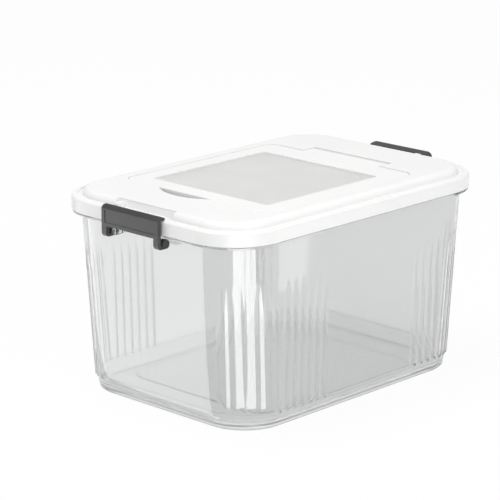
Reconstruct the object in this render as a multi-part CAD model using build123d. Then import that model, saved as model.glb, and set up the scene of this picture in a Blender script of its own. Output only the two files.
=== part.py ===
from build123d import *
import math
import os

# Rice bin with a flip lid: a clear fluted tub, a white clip-on lid with a hinged
# filling flap and its window, two soft seals and two dark end latches.
# Millimetres. X is the short way, Y the long way, the flap's finger recess faces -Y,
# and the origin is the middle of the footprint on the surface the bin stands on.

# ---- driving dimensions: lid ----
lid_half_x = 127.0           # outside of the lid's skirt
lid_half_y = 185.0
lid_corner = 54.0
lid_skin = 2.2
skirt_low = 186.0            # lower edge of the skirt
ledge_top = 199.5            # bead along the lid's edge
bead_round = 2.2
channel_in = 6.0             # shallow channel between the bead and the slope
channel_depth = 0.9
plateau_top = 205.8          # raised middle of the lid
plateau_in = 11.0            # its side, inside the skirt's face
plateau_round = 7.5
seat_rib = 2.0               # rib inside the lid that keeps the seal in place

# ---- driving dimensions: tub ----
wall = 2.4
wall_corner = 50.0           # corner radius of the wall, all the way up
wall_low = (118.0, 164.0)    # half sizes where the flutes start
wall_high = (122.6, 173.6)   # half sizes under the rim
step_z = 14.0                # top of the stepped-in base
base_low = (114.0, 158.5)
base_high = (116.0, 161.0)
base_corner_low = 44.5
base_corner_high = 47.0
base_round = 3.0
foot_ring = 7.0              # width of the ring the bin stands on
floor_low = 2.5              # underside of the floor, inside the foot ring
floor_high = 5.0
sump_round = 5.0             # inside, where the base meets the floor
floor_panel = (98.0, 116.0)  # raised middle of the floor
panel_corner = 30.0
panel_rise = 1.0
rim_low = 183.0              # underside of the rim shelf
rim_high = 185.6
rim_inset = 0.7              # rim edge inside the skirt's face
rim_round = 0.8
upstand_half = (122.0, 180.0)
upstand_corner = 49.0
upstand_top = 194.6
seal_width = 3.8

# ---- driving dimensions: flutes in the tub's corners ----
flute_depth = 1.0
flute_pitch = 10.4
flute_radius = 14.5
flutes_on_corner = 7
flutes_front = 6             # on each long side, next to the front corner
flutes_rear = 4
flute_corner_start = 15.0    # degrees from the end wall's straight
flute_fade = 34.0            # height over which a flute runs out
flute_tops = (148.0, 152.0)  # height of the lowest and the highest flute's end

# ---- driving dimensions: flip lid and its hinge ----
flap_half_x = 97.0
flap_front = -112.0
flap_rear = 99.0
flap_corner = 11.0
flap_top = 205.6
flap_skin = 2.2
flap_round = 0.5             # its upper edge
flap_low = 197.6             # lower edge of the flip lid's wall
flap_wall_in = 3.0           # that wall, inside the flip lid's edge
lip_reach = 4.0              # the same at the front, where fingers lift the lip
gap = 0.5                    # round the flip lid
rear_gap = 1.0               # behind it, where it swings
wall_gap = 0.7               # round its wall
shelf_play = 0.4             # between its edge and the shelf under the edge
window_half_x = 77.5
window_front = -91.5
window_rear = 67.0
window_corner = 3.0
window_top = 204.3
window_thick = 2.0
window_ease = 0.2
window_ledge = 3.5           # the pane rests on this much frame all round
window_ledge_thick = 1.8
recess_floor = 196.0         # lid surface under the flip lid
mouth_half_x = 84.0          # filling hole
mouth_front = -97.5
mouth_rear = 73.5
mouth_corner = 9.0
coaming = 2.0                # upright lip round the filling hole
coaming_top = 200.9
seal_grip = 2.5              # how far the soft cap reaches down over the coaming
seal_wall = 1.2
seal_play = 0.4              # cap below the flip lid
tab_half_x = 51.0            # hinge tab of the flip lid
hinge_y = 113.2
barrel = 4.0                 # radius of the tab's rolled edge
hinge_boss = 4.1             # radius of the lid's bosses for the pins
pin = 2.0                    # radius of all the hinge pins
pin_reach = 3.4
pin_play = 0.4               # past the pin's end
running_fit = 0.06
tab_play = 1.0               # beside the tab
slot = 1.5                   # behind the tab
tab_ribs = (-50.0, -17.0, 17.0, 50.0)
rib_half = 1.0

# ---- driving dimensions: finger recess ----
scoop_half = 36.0            # half its chord, along the flip lid's front edge
scoop_reach = 13.0           # from that edge to the middle of its arc
scoop_middle = -11.5         # its middle in X

# ---- driving dimensions: latches ----
latch_shift = 6.0            # front latch stands this far towards -X, the rear one towards +X
latch_half = 38.2
latch_face = 6.5             # outer face beyond the skirt
latch_thick = 4.2
latch_top = 204.4
latch_low = 183.0
latch_corner = 3.5
bevel_in = 2.6               # slanted top edge
bevel_down = 4.3
hook_reach = 3.0             # top hook, inboard of the skirt's face
hook_slope = 2.2             # how far its top falls towards its tip
hook_low = 200.0
foot_width = 6.0
foot_low = 172.2
foot_thick = 2.8
heel_round = 4.0
pivot_in = 4.5               # pivot, inboard of the skirt's face
pivot_z = 176.5
knuckle = 4.4
knuckle_cap = 1.2            # closed end of the knuckle's bore
panel_border = 4.0
panel_depth = 0.5
lug_thick = 4.0
lug_half = 2.5               # of the lug, in front of the pivot
lug_drop = 3.0               # and below it
lug_root = 1.4               # into the tub's wall
lug_play = 0.5               # between lug and knuckle
niche_play = 1.0             # between the latch's hook and the lid's slope
boss_half = 3.0              # small stop beside the hook
boss_height = 4.0
boss_front = 5.5             # its near end, inside the skirt's face
boss_back = 17.0             # its far end, inside the skirt's face
boss_round = 2.5

# ---- worked out from them ----
hinge_z = flap_top - barrel
shelf_z = flap_top - flap_skin - shelf_play
wall_front = flap_front + lip_reach   # outside of the flip lid's wall
wall_rear = flap_rear - flap_wall_in
wall_half_x = flap_half_x - flap_wall_in
latch_pivot_y = -(lid_half_y - pivot_in)
lining_low = recess_floor - lid_skin
over = 1.0                   # cutters reach this much past what they cut
weld = 0.5                   # pieces of one solid run into each other this much


def outline(half_x, front, rear, radius, z):
    return Pos(0, (front + rear) / 2, z) * RectangleRounded(2 * half_x, rear - front, radius)


def slab(half_x, front, rear, radius, low, high):
    return extrude(outline(half_x, front, rear, radius, low), high - low)


def even_slab(half, radius, low, high):
    return slab(half[0], -half[1], half[1], radius, low, high)


def grown(half, amount):
    return (half[0] + amount, half[1] + amount)


def ring(half, radius, thick, low, high):
    inner = even_slab(grown(half, -thick), radius - thick, low, high)
    return even_slab(half, radius, low, high) - inner


def taper(low_half, low_radius, low, high_half, high_radius, high):
    foot = outline(low_half[0], -low_half[1], low_half[1], low_radius, low)
    head = outline(high_half[0], -high_half[1], high_half[1], high_radius, high)
    return loft([foot, head], ruled=True)


def block(x0, x1, y0, y1, z0, z1):
    middle = Pos((x0 + x1) / 2, (y0 + y1) / 2, (z0 + z1) / 2)
    return middle * Box(x1 - x0, y1 - y0, z1 - z0)


def rod(x0, x1, y, z, radius):
    return Pos((x0 + x1) / 2, y, z) * Rot(0, 90, 0) * Cylinder(radius, abs(x1 - x0))


def across(points, x0, x1):
    """A solid with this outline in Y and Z, from x0 to x1."""
    face = Plane.YZ * make_face(Polyline(*points, close=True))
    return Pos(x0, 0, 0) * extrude(face, x1 - x0)


def edges_at(shape, z):
    boxes = [(edge, edge.bounding_box()) for edge in shape.edges()]
    return [edge for edge, box in boxes if max(abs(box.min.Z - z), abs(box.max.Z - z)) < 0.01]


def turned(shape):
    return Rot(0, 0, 180) * shape


# ---- tub ----
def wall_point(place, z):
    """A point of the wall's outer face at this height, for a flute's place."""
    side, x, y, angle = place
    share = (z - step_z) / (rim_low - step_z)
    half_x = wall_low[0] + share * (wall_high[0] - wall_low[0])
    half_y = wall_low[1] + share * (wall_high[1] - wall_low[1])
    if side == "straight":
        return Vector(x * half_x, y, z)
    out = Vector(math.cos(math.radians(angle)), math.sin(math.radians(angle)), 0)
    centre = Vector(x * (half_x - wall_corner), y * (half_y - wall_corner), z)
    return centre + out * wall_corner


def flute_places():
    """Each flute's place, and how many flutes it is away from the corner's bend."""
    places = []
    tangent = wall_low[1] - wall_corner
    turn = (90 - flute_corner_start) / flutes_on_corner
    for sx in (-1, 1):
        for sy, count in ((-1, flutes_front), (1, flutes_rear)):
            for k in range(count):
                y = sy * (tangent - (k + 0.5) * flute_pitch)
                angle = 0 if sx > 0 else 180
                places.append((("straight", sx, y, angle), k + 1))
            for k in range(flutes_on_corner):
                lean = math.radians((k + 0.5) * turn)
                angle = math.degrees(math.atan2(sy * math.sin(lean), sx * math.cos(lean)))
                places.append((("corner", sx, sy, angle), 0))
    return places


def flute_cutter(place, steps_away):
    """A long round bar that grazes the wall and leans out of it at the top."""
    angle = math.radians(place[3])
    out = Vector(math.cos(angle), math.sin(angle), 0)
    top = flute_tops[1] - (flute_tops[1] - flute_tops[0]) * steps_away / flutes_front
    grazing = out * (flute_radius - flute_depth)
    low = wall_point(place, step_z - 4) + grazing
    knee = wall_point(place, top - flute_fade) + grazing
    end = wall_point(place, top) + out * (flute_radius + 0.2)
    cutter = Pos(knee.X, knee.Y, knee.Z) * Sphere(flute_radius)
    upward = (Align.CENTER, Align.CENTER, Align.MIN)
    for a, b in ((low, knee), (knee, end)):
        run = Plane(origin=a, z_dir=b - a)
        cutter += run * Cylinder(flute_radius, (b - a).length, align=upward)
    return cutter


def latch_lug(side):
    """A plate under the rim shelf with the stub pin that one latch foot turns on."""
    inner = latch_half - foot_width - lug_play - lug_thick
    x0, x1 = sorted((side * inner, side * (inner + lug_thick)))
    plate = block(x0, x1, latch_pivot_y - lug_half, lug_root - wall_high[1],
                  pivot_z - lug_drop, rim_low + weld)
    stub_end = latch_half - knuckle_cap - pin_play - weld
    return plate + rod(side * (inner + weld), side * stub_end, latch_pivot_y, pivot_z, pin)


def make_tub():
    body = taper(wall_low, wall_corner, step_z, wall_high, wall_corner, rim_low)
    for place, steps_away in flute_places():
        body -= flute_cutter(place, steps_away)
    base = taper(base_low, base_corner_low, 0, base_high, base_corner_high, step_z)
    tub = body + fillet(edges_at(base, 0), base_round)
    rim = (lid_half_x - rim_inset, lid_half_y - rim_inset)
    shelf = even_slab(rim, lid_corner - rim_inset, rim_low, rim_high)
    tub += fillet(edges_at(shelf, rim_low) + edges_at(shelf, rim_high), rim_round)
    tub += even_slab(upstand_half, upstand_corner, rim_high, upstand_top)
    for side in (-1, 1):
        lug = Pos(-latch_shift, 0, 0) * latch_lug(side)
        tub += lug
        tub += turned(lug)
    hollow = taper(grown(wall_low, -wall), wall_corner - wall, step_z + wall,
                   grown(wall_high, -wall), wall_corner - wall, rim_high)
    sump = taper(grown(base_low, -wall), base_corner_low - wall, floor_high,
                 grown(base_high, -wall), base_corner_high - wall, step_z + wall)
    sump = fillet(edges_at(sump, floor_high), sump_round)
    mouth = even_slab(grown(upstand_half, -wall), upstand_corner - wall, rim_high, upstand_top + over)
    under = taper(grown(base_low, -foot_ring), base_corner_high - foot_ring, -over,
                  grown(base_low, -foot_ring - 1), base_corner_high - foot_ring - 1, floor_low)
    tub = tub - hollow - sump - mouth - under
    panel = taper(floor_panel, panel_corner, floor_low + weld,
                  grown(floor_panel, -2), panel_corner - 2, floor_high + panel_rise)
    panel_under = even_slab(grown(floor_panel, -wall), panel_corner - 2, floor_low - over,
                            floor_low + panel_rise)
    return tub + panel - panel_under


# ---- lid ----
def lid_shell():
    outer = (lid_half_x, lid_half_y)
    skirt = even_slab(outer, lid_corner, skirt_low, ledge_top)
    skirt = fillet(edges_at(skirt, ledge_top), bead_round)
    skirt -= ring(grown(outer, -channel_in), lid_corner - channel_in, channel_in,
                  ledge_top - channel_depth, ledge_top + over)
    plateau = even_slab(grown(outer, -plateau_in), lid_corner - plateau_in, skirt_low + 5, plateau_top)
    plateau = fillet(edges_at(plateau, plateau_top), plateau_round)
    under_skirt = even_slab(grown(outer, -lid_skin), lid_corner - lid_skin,
                            skirt_low - over, ledge_top - lid_skin)
    inset = plateau_in + lid_skin
    under_top = even_slab(grown(outer, -inset), lid_corner - inset, skirt_low + 5, plateau_top - lid_skin)
    under_top = fillet(edges_at(under_top, plateau_top - lid_skin), plateau_round - 2)
    rib_in = wall + 1
    rib = ring(grown(upstand_half, -rib_in), upstand_corner - rib_in, seat_rib,
               upstand_top - 5, ledge_top - lid_skin + 0.3)
    return skirt + plateau - under_skirt - under_top + rib


def flap_recess(extra, low, high):
    """The space that the flip lid's wall and tab lie in, grown by extra all round."""
    room = wall_gap + extra
    space = slab(wall_half_x + room, wall_front - room, wall_rear + rear_gap + extra,
                 flap_corner - flap_wall_in + room, low, high)
    side = tab_half_x + tab_play + extra
    return space + block(-side, side, wall_rear - 5, hinge_y + barrel + slot + extra, low, high)


def edge_recess(extra, low, high):
    """The shallow space that the flip lid's edge lies in, over a shelf."""
    room = gap + extra
    return slab(flap_half_x + room, flap_front - room, flap_rear + rear_gap + extra,
                flap_corner + room, low, high)


def mouth_slab(extra, low, high):
    return slab(mouth_half_x + extra, mouth_front - extra, mouth_rear + extra,
                mouth_corner + extra, low, high)


def scoop(extra, low, high):
    """The pocket in front of the flip lid, grown by extra; its rim is an arc of this chord and reach."""
    radius = (scoop_half ** 2 + scoop_reach ** 2) / (2 * scoop_reach)
    front = flap_front - gap - scoop_reach
    half = scoop_half + extra
    post = Pos(scoop_middle, front + radius, (low + high) / 2) * Cylinder(radius + extra, high - low)
    return post & block(scoop_middle - half, scoop_middle + half, front - extra, wall_front + over,
                        low, high)


def latch_niche():
    """Where the lid's slope steps back behind a latch, and the lining behind that step."""
    front = -lid_half_y
    half = latch_half + niche_play
    cut = [(front + 8, ledge_top - 0.5), (front + 14.5, ledge_top - 0.5),
           (front + 17.5, plateau_top - 1), (front + 17.5, plateau_top + 2),
           (front + 8, plateau_top + 2)]
    skin_z = plateau_top - lid_skin
    back = [(front + 12, ledge_top - lid_skin), (front + 17, ledge_top - lid_skin),
            (front + 20, skin_z), (front + 20, plateau_top - 1), (front + 12, plateau_top - 5)]
    lining = across(back, -half - 2, half + 2)
    return Pos(-latch_shift, 0, 0) * across(cut, -half, half), Pos(-latch_shift, 0, 0) * lining


def latch_stop():
    """The small rounded boss beside a latch's hook."""
    middle_x = -latch_shift - latch_half + 7
    boss = block(middle_x - boss_half, middle_x + boss_half, boss_front - lid_half_y,
                 boss_back - lid_half_y, ledge_top - 1.5, ledge_top + boss_height)
    return fillet(boss.edges().filter_by(Axis.X).group_by(Axis.Z)[-1], boss_round)


def make_lid():
    lid = lid_shell()
    lid += flap_recess(lid_skin, lining_low, plateau_top - 1)
    lid += edge_recess(lid_skin, shelf_z - lid_skin, plateau_top - 1)
    lid += scoop(lid_skin, lining_low, plateau_top - 1)
    cut, lining = latch_niche()
    lid += lining
    lid += turned(lining)
    lid -= cut
    lid -= turned(cut)
    for side in (-1, 1):
        lid += rod(side * (tab_half_x + tab_play), side * (tab_half_x + 6), hinge_y, hinge_z, hinge_boss)
    lid -= flap_recess(0, recess_floor, plateau_top + over)
    lid -= edge_recess(0, shelf_z, plateau_top + over)
    lid -= scoop(0, recess_floor, plateau_top + over)
    lid -= mouth_slab(0, lining_low - over, recess_floor + over)
    lid += mouth_slab(coaming, lining_low, coaming_top) - mouth_slab(0, lining_low, coaming_top)
    bore_end = tab_half_x + pin_reach + pin_play
    lid -= rod(-bore_end, bore_end, hinge_y, hinge_z, pin + running_fit)
    boss = latch_stop()
    lid += boss
    lid += turned(boss)
    return lid


# ---- flip lid ----
def make_flip_lid():
    skin_low = flap_top - flap_skin
    skin = slab(flap_half_x, flap_front, flap_rear, flap_corner, skin_low, flap_top)
    skin = fillet(edges_at(skin, flap_top), flap_round)
    corner = flap_corner - flap_wall_in
    outer = slab(wall_half_x, wall_front, wall_rear, corner, flap_low, skin_low)
    inner = slab(wall_half_x - flap_skin, wall_front + flap_skin, wall_rear - flap_skin,
                 corner - flap_skin, flap_low, skin_low)
    window_low = window_top - window_thick
    ledge_low = window_low - window_ledge_thick
    frame = slab(window_half_x + flap_skin, window_front - flap_skin, window_rear + flap_skin,
                 window_corner + flap_skin, ledge_low, skin_low)
    flap = skin + (outer - inner) + frame
    flap += block(-tab_half_x, tab_half_x, flap_rear - flap_skin, hinge_y, skin_low, flap_top)
    flap += rod(-tab_half_x, tab_half_x, hinge_y, hinge_z, barrel)
    for x in tab_ribs:
        flap += block(x - rib_half, x + rib_half, wall_rear - 1, hinge_y, flap_low + 1, skin_low)
    pin_end = tab_half_x + pin_reach
    flap += rod(-pin_end, pin_end, hinge_y, hinge_z, pin)
    flap -= slab(window_half_x, window_front, window_rear, window_corner, window_low, flap_top + over)
    flap -= slab(window_half_x - window_ledge, window_front + window_ledge, window_rear - window_ledge,
                 window_corner, ledge_low - over, window_low + over)
    return flap


def make_flip_window():
    pane = slab(window_half_x - window_ease, window_front + window_ease, window_rear - window_ease,
                window_corner, window_top - window_thick, window_top)
    return fillet(edges_at(pane, window_top), 0.4)


# ---- seals ----
def make_lid_seal():
    spread = 0.7
    return ring(grown(upstand_half, spread), upstand_corner + spread, seal_width,
                upstand_top, ledge_top - lid_skin)


def make_flip_seal():
    top = flap_top - flap_skin - seal_play
    low = coaming_top - seal_grip
    cap = mouth_slab(coaming + seal_wall, low, top) - mouth_slab(-seal_wall, low, top)
    cap = fillet(edges_at(cap, top), 0.8)
    return cap - (mouth_slab(coaming, low, coaming_top) - mouth_slab(0, low, coaming_top))


# ---- latches ----
def make_front_latch():
    face_y = -(lid_half_y + latch_face)
    inner_y = face_y + latch_thick
    tip_y = -(lid_half_y - hook_reach)
    profile = [(face_y, latch_low), (face_y, latch_top - bevel_down), (face_y + bevel_in, latch_top),
               (inner_y, latch_top), (tip_y, latch_top - hook_slope), (tip_y, hook_low),
               (inner_y, hook_low), (inner_y, latch_low)]
    latch = across(profile, -latch_half, latch_half)
    for side in (-1, 1):
        x0, x1 = sorted((side * (latch_half - foot_width), side * latch_half))
        foot = block(x0, x1, face_y, inner_y, foot_low, latch_low + over)
        foot += block(x0, x1, face_y, latch_pivot_y, foot_low, foot_low + foot_thick)
        heel = foot.edges().filter_by(Axis.X).group_by(Axis.Z)[0].group_by(Axis.Y)[0]
        latch += fillet(heel, heel_round)
        latch += rod(x0, x1, latch_pivot_y, pivot_z, knuckle)
        bore_start = side * (latch_half - foot_width - over)
        bore_end = side * (latch_half - knuckle_cap)
        latch -= rod(bore_start, bore_end, latch_pivot_y, pivot_z, pin + running_fit)
    rounded = RectangleRounded(2 * latch_half, 2 * (latch_top - foot_low), latch_corner)
    latch = latch & extrude(Plane.XZ * Pos(0, foot_low, 0) * rounded, 2 * lid_half_y, both=True)
    latch -= block(panel_border - latch_half, latch_half - panel_border,
                   face_y - over, face_y + panel_depth,
                   latch_low + panel_border - weld, latch_top - bevel_down - 1.2)
    return Pos(-latch_shift, 0, 0) * latch


os.makedirs("parts", exist_ok=True)
front_latch = make_front_latch()
pieces = {
    "tub": make_tub(),
    "lid": make_lid(),
    "lid_seal": make_lid_seal(),
    "flip_lid": make_flip_lid(),
    "flip_window": make_flip_window(),
    "flip_seal": make_flip_seal(),
    "front_latch": front_latch,
    "rear_latch": turned(front_latch),
}
for name, shape in pieces.items():
    export_step(shape, f"parts/{name}.step")
    print(name, len(shape.solids()), "solid,", round(shape.volume / 1000, 1), "cm3")
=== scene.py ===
import bpy
import math
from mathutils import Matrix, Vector

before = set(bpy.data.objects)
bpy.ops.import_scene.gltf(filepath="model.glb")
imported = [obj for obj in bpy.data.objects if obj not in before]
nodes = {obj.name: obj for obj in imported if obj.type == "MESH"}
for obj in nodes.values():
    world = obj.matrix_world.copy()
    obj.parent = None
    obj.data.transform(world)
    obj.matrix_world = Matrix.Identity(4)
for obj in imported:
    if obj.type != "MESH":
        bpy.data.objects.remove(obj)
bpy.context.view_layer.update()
print("frame loaded:", len(nodes), "pieces")


# camera
view = {
    "azimuth": 43.8,        # degrees round the bin from its front end
    "elevation": 15.55,
    "distance": 2.39,
    "target": (-0.0328, 0.0, 0.1223),
    "focalPixels": 2370.0,  # of a picture 500 pixels wide
    "pictureWidth": 500.0,
    "sensor": 36.0,
}


def makeCamera():
    az = math.radians(view["azimuth"])
    el = math.radians(view["elevation"])
    back = Vector((math.sin(az) * math.cos(el), -math.cos(az) * math.cos(el), math.sin(el)))
    data = bpy.data.cameras.new("viewCamera")
    data.sensor_width = view["sensor"]
    data.lens = view["focalPixels"] / view["pictureWidth"] * view["sensor"]
    data.clip_end = 50.0
    camera = bpy.data.objects.new("viewCamera", data)
    camera.location = Vector(view["target"]) + back * view["distance"]
    camera.rotation_euler = back.to_track_quat("Z", "Y").to_euler()
    bpy.context.scene.collection.objects.link(camera)
    bpy.context.scene.camera = camera


makeCamera()
print("camera placed")


# node helpers
grainDepth = 0.0002         # metres, of the finest texture
noiseMiddle = (0.35, 0.65)  # the part of a noise's range that the broad colours run over
noiseWide = (0.3, 0.7)      # and that roughness and the seals' colour run over
noiseRoughness = 0.5


def freshMaterial(name):
    material = bpy.data.materials.new(name)
    material.use_nodes = True
    tree = material.node_tree
    tree.nodes.clear()
    output = tree.nodes.new("ShaderNodeOutputMaterial")
    return material, tree, output


def objectCoords(tree):
    return tree.nodes.new("ShaderNodeTexCoord").outputs["Object"]


def noise(tree, coords, scale, detail):
    node = tree.nodes.new("ShaderNodeTexNoise")
    node.inputs["Scale"].default_value = scale
    node.inputs["Detail"].default_value = detail
    node.inputs["Roughness"].default_value = noiseRoughness
    tree.links.new(coords, node.inputs["Vector"])
    return node.outputs["Fac"]


def spread(tree, value, low, high, newLow, newHigh):
    node = tree.nodes.new("ShaderNodeMapRange")
    node.inputs["From Min"].default_value = low
    node.inputs["From Max"].default_value = high
    node.inputs["To Min"].default_value = newLow
    node.inputs["To Max"].default_value = newHigh
    tree.links.new(value, node.inputs["Value"])
    return node.outputs["Result"]


def blendColours(tree, value, first, second):
    node = tree.nodes.new("ShaderNodeMix")
    node.data_type = "RGBA"
    node.inputs["A"].default_value = (*first, 1.0)
    node.inputs["B"].default_value = (*second, 1.0)
    tree.links.new(value, node.inputs["Factor"])
    return node.outputs["Result"]


def bump(tree, height, strength, distance):
    node = tree.nodes.new("ShaderNodeBump")
    node.inputs["Strength"].default_value = strength
    node.inputs["Distance"].default_value = distance
    tree.links.new(height, node.inputs["Height"])
    return node.outputs["Normal"]


def dress(name, material):
    node = nodes[name]
    node.data.materials.clear()
    node.data.materials.append(material)


# white lid and flap
whitePlastic = {
    "lidColour": (0.90, 0.90, 0.895),
    "lidShade": (0.87, 0.87, 0.867),
    "flapColour": (0.91, 0.91, 0.905),
    "flapShade": (0.88, 0.88, 0.877),
    "smooth": 0.24,
    "dull": 0.34,
    "gloss": 0.2,           # kept low, so that the boards on the floor hardly show in it
    "grain": 900.0,
    "grainDetail": 1.0,
    "grainStrength": 0.06,
    "flow": 9.0,
    "flowDetail": 3.0,
    "ior": 1.5,
}


def makeWhite(name, colour, shade):
    material, tree, output = freshMaterial(name)
    coords = objectCoords(tree)
    flow = noise(tree, coords, whitePlastic["flow"], whitePlastic["flowDetail"])
    grain = noise(tree, coords, whitePlastic["grain"], whitePlastic["grainDetail"])
    shader = tree.nodes.new("ShaderNodeBsdfPrincipled")
    shader.inputs["IOR"].default_value = whitePlastic["ior"]
    shader.inputs["Specular IOR Level"].default_value = whitePlastic["gloss"]
    tint = blendColours(tree, spread(tree, flow, *noiseMiddle, 0.0, 1.0), colour, shade)
    tree.links.new(tint, shader.inputs["Base Color"])
    rough = spread(tree, flow, *noiseWide, whitePlastic["smooth"], whitePlastic["dull"])
    tree.links.new(rough, shader.inputs["Roughness"])
    tree.links.new(bump(tree, grain, whitePlastic["grainStrength"], grainDepth), shader.inputs["Normal"])
    tree.links.new(shader.outputs["BSDF"], output.inputs["Surface"])
    return material


dress("lid", makeWhite("whiteLid", whitePlastic["lidColour"], whitePlastic["lidShade"]))
dress("flip_lid", makeWhite("whiteFlap", whitePlastic["flapColour"], whitePlastic["flapShade"]))
print("white plastic done")


# pale grey window
pane = {
    "colour": (0.84, 0.838, 0.822),
    "shade": (0.81, 0.808, 0.793),
    "clear": 0.25,
    "smooth": 0.33,
    "dull": 0.44,
    "cloud": 14.0,
    "cloudDetail": 3.0,
    "grain": 1400.0,
    "grainDetail": 1.0,
    "grainStrength": 0.15,
    "ior": 1.46,
}


def makePane():
    material, tree, output = freshMaterial("paleWindow")
    coords = objectCoords(tree)
    cloud = noise(tree, coords, pane["cloud"], pane["cloudDetail"])
    grain = noise(tree, coords, pane["grain"], pane["grainDetail"])
    shader = tree.nodes.new("ShaderNodeBsdfPrincipled")
    shader.inputs["IOR"].default_value = pane["ior"]
    shader.inputs["Transmission Weight"].default_value = pane["clear"]
    tint = blendColours(tree, spread(tree, cloud, *noiseMiddle, 0.0, 1.0), pane["colour"], pane["shade"])
    tree.links.new(tint, shader.inputs["Base Color"])
    rough = spread(tree, cloud, *noiseWide, pane["smooth"], pane["dull"])
    tree.links.new(rough, shader.inputs["Roughness"])
    tree.links.new(bump(tree, grain, pane["grainStrength"], grainDepth), shader.inputs["Normal"])
    tree.links.new(shader.outputs["BSDF"], output.inputs["Surface"])
    return material


dress("flip_window", makePane())
print("window done")


# seals
sealRubber = {
    "colour": (0.80, 0.80, 0.79),
    "shade": (0.74, 0.74, 0.735),
    "smooth": 0.47,
    "dull": 0.63,
    "cloud": 60.0,
    "cloudDetail": 3.0,
    "cloudStrength": 0.1,
    "glowShare": 0.15,      # light that goes through its skin
    "glowDepth": 0.002,
}


def makeSeal():
    material, tree, output = freshMaterial("softSeal")
    coords = objectCoords(tree)
    cloud = noise(tree, coords, sealRubber["cloud"], sealRubber["cloudDetail"])
    shader = tree.nodes.new("ShaderNodeBsdfPrincipled")
    shader.inputs["Subsurface Weight"].default_value = sealRubber["glowShare"]
    shader.inputs["Subsurface Scale"].default_value = sealRubber["glowDepth"]
    tintShare = spread(tree, cloud, *noiseWide, 0.0, 1.0)
    tint = blendColours(tree, tintShare, sealRubber["colour"], sealRubber["shade"])
    tree.links.new(tint, shader.inputs["Base Color"])
    rough = spread(tree, cloud, *noiseWide, sealRubber["smooth"], sealRubber["dull"])
    tree.links.new(rough, shader.inputs["Roughness"])
    tree.links.new(bump(tree, cloud, sealRubber["cloudStrength"], grainDepth), shader.inputs["Normal"])
    tree.links.new(shader.outputs["BSDF"], output.inputs["Surface"])
    return material


sealMaterial = makeSeal()
dress("lid_seal", sealMaterial)
dress("flip_seal", sealMaterial)
print("seals done")


# dark latches
darkPlastic = {
    "colour": (0.046, 0.046, 0.048),
    "worn": (0.056, 0.056, 0.058),
    "wornFrom": 0.35,       # noise values between which the worn colour comes in
    "wornTo": 0.7,
    "gloss": 0.3,
    "smooth": 0.33,
    "dull": 0.46,
    "cloud": 45.0,
    "cloudDetail": 4.0,
    "grain": 1100.0,
    "grainDetail": 2.0,
    "grainStrength": 0.25,
    "grainDepth": 0.0003,
    "ior": 1.5,
}


def makeDark():
    material, tree, output = freshMaterial("darkLatch")
    coords = objectCoords(tree)
    cloud = noise(tree, coords, darkPlastic["cloud"], darkPlastic["cloudDetail"])
    grain = noise(tree, coords, darkPlastic["grain"], darkPlastic["grainDetail"])
    shader = tree.nodes.new("ShaderNodeBsdfPrincipled")
    shader.inputs["IOR"].default_value = darkPlastic["ior"]
    shader.inputs["Specular IOR Level"].default_value = darkPlastic["gloss"]
    wornShare = spread(tree, cloud, darkPlastic["wornFrom"], darkPlastic["wornTo"], 0.0, 1.0)
    tint = blendColours(tree, wornShare, darkPlastic["colour"], darkPlastic["worn"])
    tree.links.new(tint, shader.inputs["Base Color"])
    rough = spread(tree, cloud, *noiseWide, darkPlastic["smooth"], darkPlastic["dull"])
    tree.links.new(rough, shader.inputs["Roughness"])
    texture = bump(tree, grain, darkPlastic["grainStrength"], darkPlastic["grainDepth"])
    tree.links.new(texture, shader.inputs["Normal"])
    tree.links.new(shader.outputs["BSDF"], output.inputs["Surface"])
    return material


darkMaterial = makeDark()
dress("front_latch", darkMaterial)
dress("rear_latch", darkMaterial)
print("latches done")


# clear tub
clearPlastic = {
    "tint": (0.815, 0.82, 0.82),
    "milk": (0.86, 0.865, 0.865),
    "milkShare": 0.07,
    "baseMilk": 0.22,       # more of it in the thick stepped base
    "baseTop": 0.0145,      # metres above the floor
    "baseBlend": 0.001,     # height over which it thins out
    "ior": 1.49,
    "smooth": 0.051,
    "dull": 0.069,
    "fine": 900.0,
    "fineDetail": 1.0,
    "wave": 22.0,           # slow unevenness of the moulded wall
    "waveDetail": 2.0,
    "waveStrength": 0.02,
    "waveDepth": 0.001,
    "shadowTint": (0.90, 0.905, 0.905),
}


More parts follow.
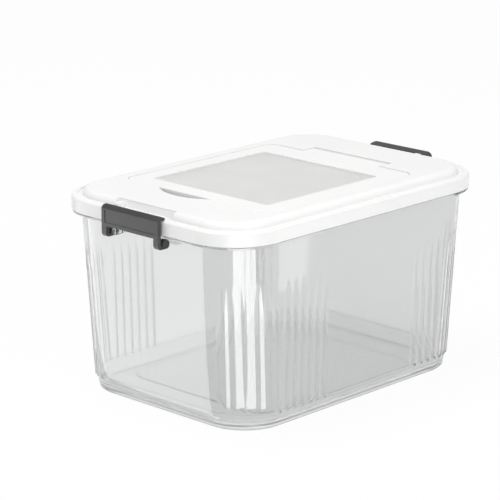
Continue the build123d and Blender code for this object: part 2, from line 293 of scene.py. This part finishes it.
def makeClear():
    material, tree, output = freshMaterial("clearTub")
    coords = objectCoords(tree)
    wave = noise(tree, coords, clearPlastic["wave"], clearPlastic["waveDetail"])
    fine = noise(tree, coords, clearPlastic["fine"], clearPlastic["fineDetail"])
    glass = tree.nodes.new("ShaderNodeBsdfPrincipled")
    glass.inputs["Base Color"].default_value = (*clearPlastic["tint"], 1.0)
    glass.inputs["Transmission Weight"].default_value = 1.0
    glass.inputs["IOR"].default_value = clearPlastic["ior"]
    rough = spread(tree, fine, *noiseWide, clearPlastic["smooth"], clearPlastic["dull"])
    tree.links.new(rough, glass.inputs["Roughness"])
    waviness = bump(tree, wave, clearPlastic["waveStrength"], clearPlastic["waveDepth"])
    tree.links.new(waviness, glass.inputs["Normal"])
    milk = tree.nodes.new("ShaderNodeBsdfDiffuse")
    milk.inputs["Color"].default_value = (*clearPlastic["milk"], 1.0)
    height = tree.nodes.new("ShaderNodeSeparateXYZ")
    tree.links.new(coords, height.inputs["Vector"])
    top = clearPlastic["baseTop"]
    share = spread(tree, height.outputs["Z"], top - clearPlastic["baseBlend"], top,
                   clearPlastic["baseMilk"], clearPlastic["milkShare"])
    body = tree.nodes.new("ShaderNodeMixShader")
    tree.links.new(share, body.inputs["Fac"])
    tree.links.new(glass.outputs["BSDF"], body.inputs[1])
    tree.links.new(milk.outputs["BSDF"], body.inputs[2])
    passing = tree.nodes.new("ShaderNodeBsdfTransparent")
    passing.inputs["Color"].default_value = (*clearPlastic["shadowTint"], 1.0)
    path = tree.nodes.new("ShaderNodeLightPath")
    lampRays = tree.nodes.new("ShaderNodeMath")  # lamps and soft light reach through the walls
    lampRays.operation = "MAXIMUM"
    tree.links.new(path.outputs["Is Shadow Ray"], lampRays.inputs[0])
    tree.links.new(path.outputs["Is Diffuse Ray"], lampRays.inputs[1])
    last = tree.nodes.new("ShaderNodeMixShader")
    tree.links.new(lampRays.outputs["Value"], last.inputs["Fac"])
    tree.links.new(body.outputs["Shader"], last.inputs[1])
    tree.links.new(passing.outputs["BSDF"], last.inputs[2])
    tree.links.new(last.outputs["Shader"], output.inputs["Surface"])
    return material


dress("tub", makeClear())
print("clear tub done")


# floor, backdrop and light
studio = {
    "floorSize": 30.0,
    "floorColour": (0.93, 0.93, 0.93),
    "floorWhite": 0.95,     # share of plain white in what the camera and the plastic see of it
    "ambient": 0.62,
    "keyEnergy": 38.0,
    "keySize": 1.6,
    "keyPlace": (-0.5, -0.7, 2.8),
    "fillEnergy": 23.0,
    "fillSize": 1.4,
    "fillPlace": (2.3, -0.5, 1.3),
}


def lightPathSeen(tree):
    path = tree.nodes.new("ShaderNodeLightPath")
    first = tree.nodes.new("ShaderNodeMath")
    first.operation = "MAXIMUM"
    tree.links.new(path.outputs["Is Camera Ray"], first.inputs[0])
    tree.links.new(path.outputs["Is Glossy Ray"], first.inputs[1])
    second = tree.nodes.new("ShaderNodeMath")
    second.operation = "MAXIMUM"
    tree.links.new(first.outputs["Value"], second.inputs[0])
    tree.links.new(path.outputs["Is Transmission Ray"], second.inputs[1])
    return second.outputs["Value"]


def makeFloor():
    half = studio["floorSize"] / 2
    mesh = bpy.data.meshes.new("floor")
    corners = [(-half, -half, 0), (half, -half, 0), (half, half, 0), (-half, half, 0)]
    mesh.from_pydata(corners, [], [(0, 1, 2, 3)])
    floor = bpy.data.objects.new("floor", mesh)
    bpy.context.scene.collection.objects.link(floor)
    material, tree, output = freshMaterial("whiteFloor")
    paint = tree.nodes.new("ShaderNodeBsdfDiffuse")
    paint.inputs["Color"].default_value = (*studio["floorColour"], 1.0)
    white = tree.nodes.new("ShaderNodeEmission")
    white.inputs["Strength"].default_value = 1.0
    share = tree.nodes.new("ShaderNodeMath")
    share.operation = "MULTIPLY"
    share.inputs[1].default_value = studio["floorWhite"]
    tree.links.new(lightPathSeen(tree), share.inputs[0])
    mix = tree.nodes.new("ShaderNodeMixShader")
    tree.links.new(share.outputs["Value"], mix.inputs["Fac"])
    tree.links.new(paint.outputs["BSDF"], mix.inputs[1])
    tree.links.new(white.outputs["Emission"], mix.inputs[2])
    tree.links.new(mix.outputs["Shader"], output.inputs["Surface"])
    mesh.materials.append(material)


def makeLamp(name, place, size, energy):
    data = bpy.data.lights.new(name, "AREA")
    data.shape = "DISK"
    data.size = size
    data.energy = energy
    lamp = bpy.data.objects.new(name, data)
    lamp.location = place
    lamp.rotation_euler = Vector(place).to_track_quat("Z", "Y").to_euler()
    bpy.context.scene.collection.objects.link(lamp)


def makeWorld():
    world = bpy.data.worlds.new("studioLight")
    world.use_nodes = True
    tree = world.node_tree
    tree.nodes.clear()
    output = tree.nodes.new("ShaderNodeOutputWorld")
    lit = tree.nodes.new("ShaderNodeBackground")
    lit.inputs["Strength"].default_value = studio["ambient"]
    seen = tree.nodes.new("ShaderNodeBackground")
    seen.inputs["Strength"].default_value = 1.0
    mix = tree.nodes.new("ShaderNodeMixShader")
    tree.links.new(lightPathSeen(tree), mix.inputs["Fac"])
    tree.links.new(lit.outputs["Background"], mix.inputs[1])
    tree.links.new(seen.outputs["Background"], mix.inputs[2])
    tree.links.new(mix.outputs["Shader"], output.inputs["Surface"])
    bpy.context.scene.world = world


# reflection cards: sheets low over the floor that show only in gloss, as a studio's white boards do
cards = {
    "front": {
        "apex": (0.080, -0.168),
        "fromAngle": 187.0,
        "toAngle": 228.0,
        "start": 0.005,
        "reach": 1.2,
        "light": 3.8,
    },
    "corner": {
        "apex": (0.072, -0.123),
        "fromAngle": 299.0,
        "toAngle": 346.0,
        "start": 0.085,
        "reach": 1.2,
        "light": 9.0,
    },
    "side": {
        "apex": (-0.085, -0.326),
        "fromAngle": 44.4,
        "toAngle": 48.8,
        "start": 0.69,
        "reach": 1.6,
        "light": 2.8,
    },
}
cardHeight = 0.002          # above the floor, so that the two don't lie in one plane
cardSteps = 12


def makeCard(name, card):
    points = []
    turn = card["toAngle"] - card["fromAngle"]
    for k in range(cardSteps + 1):
        angle = math.radians(card["fromAngle"] + turn * k / cardSteps)
        for away in (card["start"], card["reach"]):
            points.append((card["apex"][0] + math.cos(angle) * away,
                           card["apex"][1] + math.sin(angle) * away, cardHeight))
    mesh = bpy.data.meshes.new(name)
    mesh.from_pydata(points, [], [(2 * k, 2 * k + 1, 2 * k + 3, 2 * k + 2) for k in range(cardSteps)])
    board = bpy.data.objects.new(name, mesh)
    bpy.context.scene.collection.objects.link(board)
    material, tree, output = freshMaterial(name)
    glow = tree.nodes.new("ShaderNodeEmission")
    glow.inputs["Strength"].default_value = card["light"]
    tree.links.new(glow.outputs["Emission"], output.inputs["Surface"])
    mesh.materials.append(material)
    board.visible_camera = False
    board.visible_diffuse = False
    board.visible_transmission = False
    board.visible_shadow = False


makeFloor()
makeLamp("keyLamp", studio["keyPlace"], studio["keySize"], studio["keyEnergy"])
makeLamp("fillLamp", studio["fillPlace"], studio["fillSize"], studio["fillEnergy"])
makeWorld()
for cardName, card in cards.items():
    makeCard(cardName + "Card", card)
bpy.context.scene.view_settings.view_transform = "Standard"
print("studio done")
